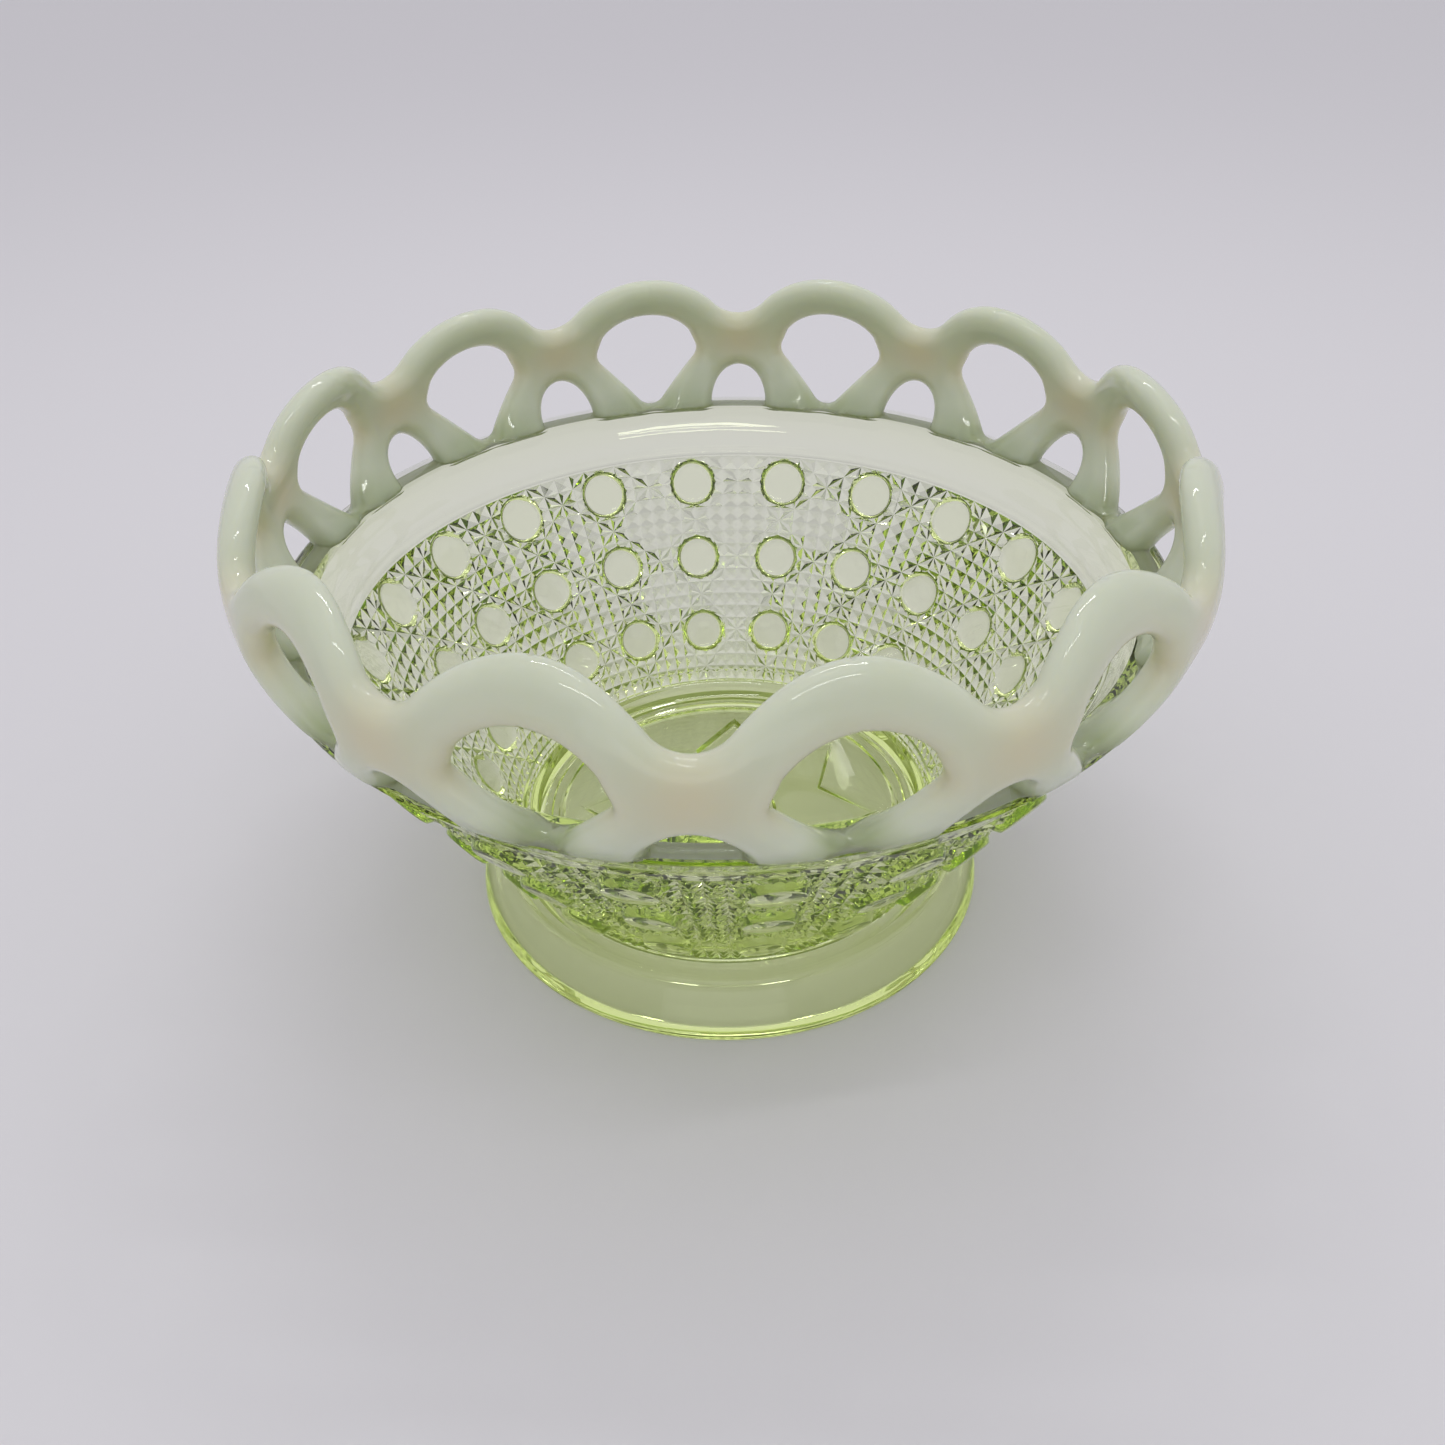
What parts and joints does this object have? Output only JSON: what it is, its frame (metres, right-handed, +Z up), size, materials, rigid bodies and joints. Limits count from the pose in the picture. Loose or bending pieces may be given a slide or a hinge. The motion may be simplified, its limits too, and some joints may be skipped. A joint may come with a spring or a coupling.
{
  "type": "uranium glass dish",
  "caption": "Footed pressed-glass dish in clear yellow-green uranium glass, with a buttons-and-cane relief outside and a milky opalescent open lace rim.",
  "frame": {"origin": "centre of the circle that the foot rests on, at the height of the table", "axes": "+Z up along the dish's axis; a crossing of the lace lies on +X; +Y completes the right-handed set"},
  "size_m": [0.1864, 0.1864, 0.1085],
  "materials": {
    "clear_glass": "gloss",
    "relief_glass": "gloss",
    "opal_glass": "gloss"
  },
  "bodies": {
    "root": {"foot_skirt": "clear_glass", "foot_bead": "clear_glass", "bowl_wall": "clear_glass", "collar": "clear_glass", "floor_disc": "relief_glass", "base_star": "relief_glass", "floor_step": "relief_glass", "floor_ridges": "relief_glass", "buttons_lower": "relief_glass", "buttons_middle": "relief_glass", "buttons_upper": "relief_glass", "cane_points_base": "relief_glass", "cane_panels_lower": "relief_glass", "cane_panels_upper": "relief_glass", "collar_bead": "relief_glass", "lace_cross_01": "opal_glass", "lace_cross_02": "opal_glass", "lace_cross_03": "opal_glass", "lace_cross_04": "opal_glass", "lace_cross_05": "opal_glass", "lace_cross_06": "opal_glass", "lace_cross_07": "opal_glass", "lace_cross_08": "opal_glass", "lace_cross_09": "opal_glass", "lace_cross_10": "opal_glass", "lace_cross_11": "opal_glass", "lace_cross_12": "opal_glass"}
  },
  "joints": []
}
